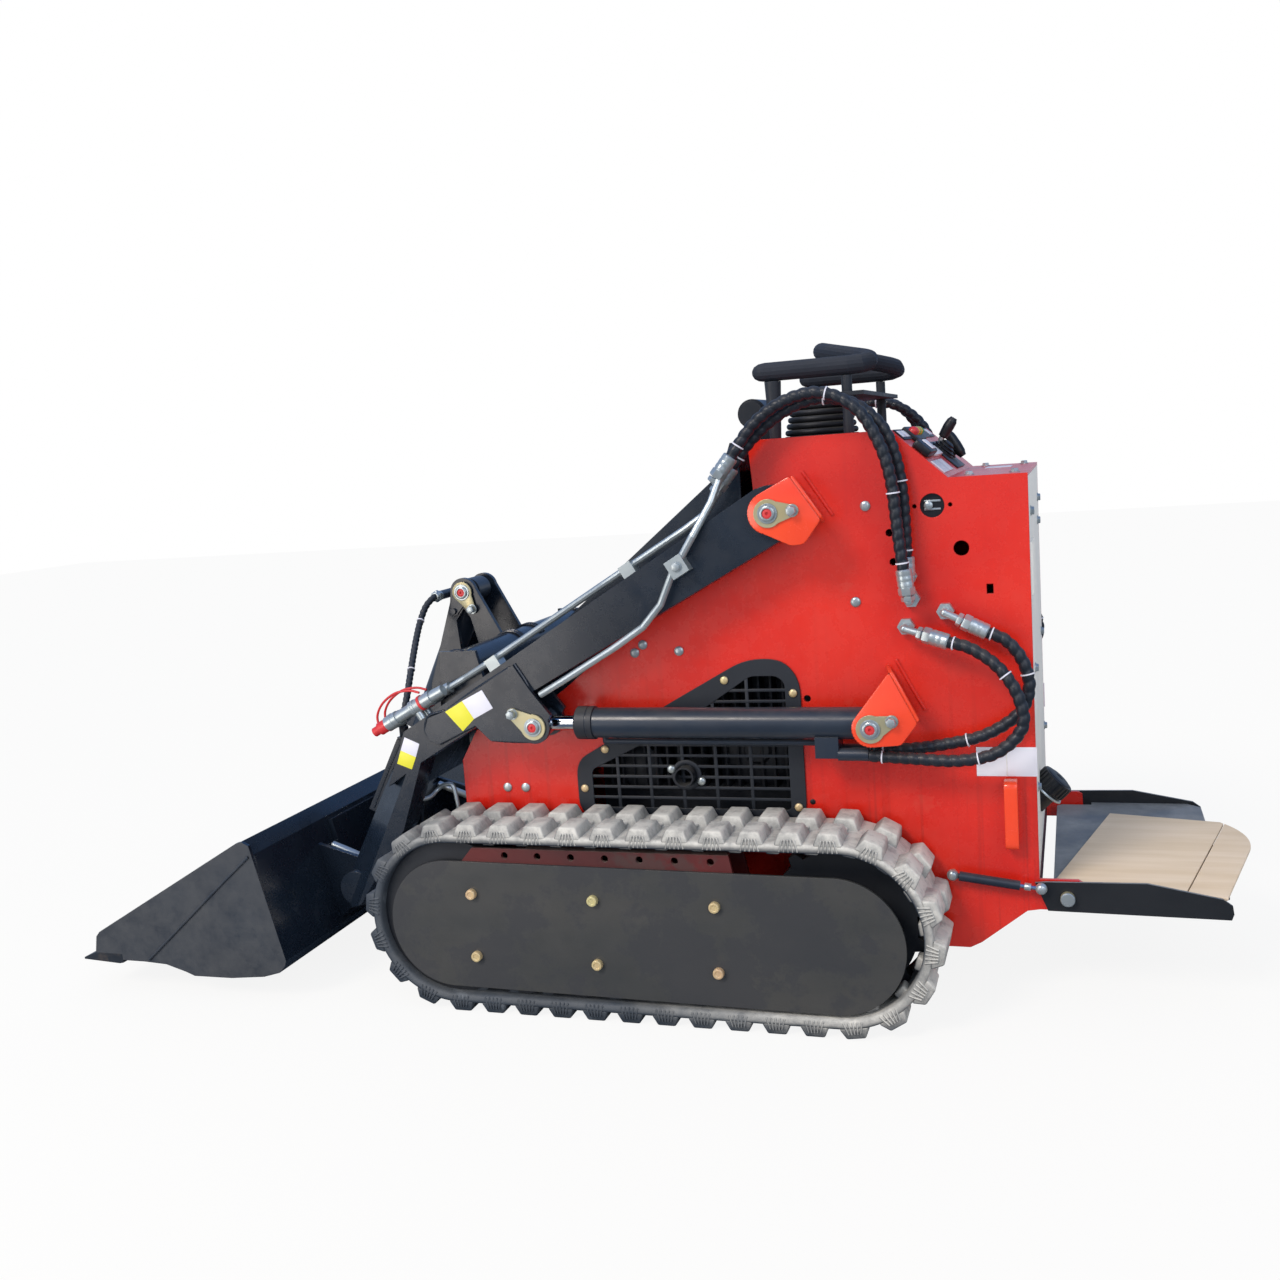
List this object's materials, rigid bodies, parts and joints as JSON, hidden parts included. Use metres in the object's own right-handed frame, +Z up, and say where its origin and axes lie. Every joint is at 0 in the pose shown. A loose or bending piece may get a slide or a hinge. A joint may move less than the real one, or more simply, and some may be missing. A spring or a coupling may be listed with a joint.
{
  "type": "stand-on tracked mini loader",
  "caption": "Compact stand-on loader on rubber tracks, with hydraulic lift arms, front bucket, padded grab bar and folding rear foot platform.",
  "frame": {"origin": "on the ground under the middle of the whole length, on the middle plane", "axes": "+X forward to the bucket, +Y to the machine's left, +Z up"},
  "size_m": [2.4186, 1.05, 1.2867],
  "materials": {
    "side_plates": "gloss powder coat",
    "cross_frame": "gloss paint, dusty",
    "front_hood": "satin powder coat",
    "control_deck": "gloss powder coat",
    "rear_panel": "pale powder coat",
    "engine_block": "plain block",
    "engine_cowl": "moulded plastic",
    "air_filter": "moulded plastic",
    "handlebar": "closed-cell foam sleeve",
    "handle_posts": "satin black paint",
    "control_levers": "moulded plastic",
    "side_grilles": "satin black paint",
    "exhaust_pipe": "sooty steel",
    "lift_brackets": "gloss powder coat",
    "pivot_pins": "yellow zinc plated",
    "track_left": "dusty moulded rubber",
    "track_right": "dusty moulded rubber",
    "track_frames": "gloss paint, dusty",
    "track_rollers": "satin black paint",
    "track_covers": "satin powder coat",
    "cover_bolts": "yellow zinc plated",
    "hose_fittings": "zinc plated",
    "loop_hoses": "spiral-wrapped hose",
    "arm_hoses": "spiral-wrapped hose",
    "filler_cap": "moulded plastic",
    "grab_handles": "gloss powder coat",
    "lift_arms": "satin powder coat",
    "arm_pins": "yellow zinc plated",
    "cross_tube": "satin powder coat",
    "arm_pipes": "zinc plated",
    "couplers": "zinc plated",
    "dust_caps": "soft moulded cap",
    "tilt_hoses": "spiral-wrapped hose",
    "lift_barrels": "satin black paint",
    "lift_rods": "polished rod",
    "tilt_barrel": "satin black paint",
    "tilt_rod": "polished rod",
    "quick_attach": "satin powder coat",
    "bucket": "satin powder coat",
    "cutting_edge": "worn steel",
    "platform_deck": "satin powder coat",
    "platform_board": "thin tan board",
    "spring_bodies": "satin black paint",
    "spring_rods": "polished rod"
  },
  "bodies": {
    "chassis": {"side_plates": "side_plates", "cross_frame": "cross_frame", "front_hood": "front_hood", "control_deck": "control_deck", "rear_panel": "rear_panel", "engine_block": "engine_block", "engine_cowl": "engine_cowl", "air_filter": "air_filter", "handlebar": "handlebar", "handle_posts": "handle_posts", "control_levers": "control_levers", "side_grilles": "side_grilles", "exhaust_pipe": "exhaust_pipe", "lift_brackets": "lift_brackets", "pivot_pins": "pivot_pins", "track_left": "track_left", "track_right": "track_right", "track_frames": "track_frames", "track_rollers": "track_rollers", "track_covers": "track_covers", "cover_bolts": "cover_bolts", "hose_fittings": "hose_fittings", "loop_hoses": "loop_hoses", "arm_hoses": "arm_hoses", "filler_cap": "filler_cap", "grab_handles": "grab_handles"},
    "arms": {"lift_arms": "lift_arms", "arm_pins": "arm_pins", "cross_tube": "cross_tube", "arm_pipes": "arm_pipes", "couplers": "couplers", "dust_caps": "dust_caps", "tilt_hoses": "tilt_hoses"},
    "lift_barrels": {"lift_barrels": "lift_barrels"},
    "lift_rods": {"lift_rods": "lift_rods"},
    "tilt_barrel": {"tilt_barrel": "tilt_barrel"},
    "tilt_rod": {"tilt_rod": "tilt_rod"},
    "bucket": {"quick_attach": "quick_attach", "bucket": "bucket", "cutting_edge": "cutting_edge"},
    "platform": {"platform_deck": "platform_deck", "platform_board": "platform_board"},
    "spring_bodies": {"spring_bodies": "spring_bodies"},
    "spring_rods": {"spring_rods": "spring_rods"}
  },
  "joints": [
    {"name": "arm_lift", "type": "hinge", "parent": "chassis", "child": "arms", "pos_m": [-0.36768, 0, 0.965], "axis": [0, -1, 0], "range_deg": [0, 68], "deforming": ["arm_hoses"]},
    {"name": "lift_barrel_swing", "type": "hinge", "parent": "chassis", "child": "lift_barrels", "pos_m": [-0.53368, 0, 0.566], "axis": [0, -1, 0], "range_deg": [0, 45.47], "deforming": ["loop_hoses"]},
    {"name": "lift_rod_slide", "type": "slide", "parent": "lift_barrels", "child": "lift_rods", "axis": [1, 0, 0.0045], "range_m": [0, 0.3516]},
    {"name": "bucket_tilt", "type": "hinge", "parent": "arms", "child": "bucket", "pos_m": [0.59532, 0, 0.205], "axis": [0, 1, 0], "range_deg": [-20, 65]},
    {"name": "tilt_barrel_swing", "type": "hinge", "parent": "arms", "child": "tilt_barrel", "pos_m": [0.43332, 0, 0.805], "axis": [0, 1, 0], "range_deg": [-3.28, 1.7], "deforming": ["tilt_hoses"]},
    {"name": "tilt_rod_slide", "type": "slide", "parent": "tilt_barrel", "child": "tilt_rod", "axis": [0.4419, 0, -0.8971], "range_m": [-0.0477, 0.1482]},
    {"name": "platform_fold", "type": "hinge", "parent": "chassis", "child": "platform", "pos_m": [-0.86469, 0, 0.225], "axis": [0, 1, 0], "range_deg": [0, 78]},
    {"name": "gas_spring_swing", "type": "hinge", "parent": "chassis", "child": "spring_bodies", "pos_m": [-0.66068, 0, 0.266], "axis": [0, 1, 0], "range_deg": [-18.51, 1]},
    {"name": "gas_spring_slide", "type": "slide", "parent": "spring_bodies", "child": "spring_rods", "axis": [-0.9913, 0, -0.1318], "range_m": [0, 0.0357]}
  ],
  "couplings": [
    {"joint": "lift_barrel_swing", "follows": "arm_lift", "ratio": 0.654},
    {"joint": "lift_rod_slide", "follows": "arm_lift", "m_per_rad": 0.29371},
    {"joint": "tilt_barrel_swing", "follows": "bucket_tilt", "ratio": -0.035},
    {"joint": "tilt_rod_slide", "follows": "bucket_tilt", "m_per_rad": 0.12801},
    {"joint": "gas_spring_swing", "follows": "platform_fold", "ratio": -0.2245},
    {"joint": "gas_spring_slide", "follows": "platform_fold", "m_per_rad": 0.02474}
  ]
}
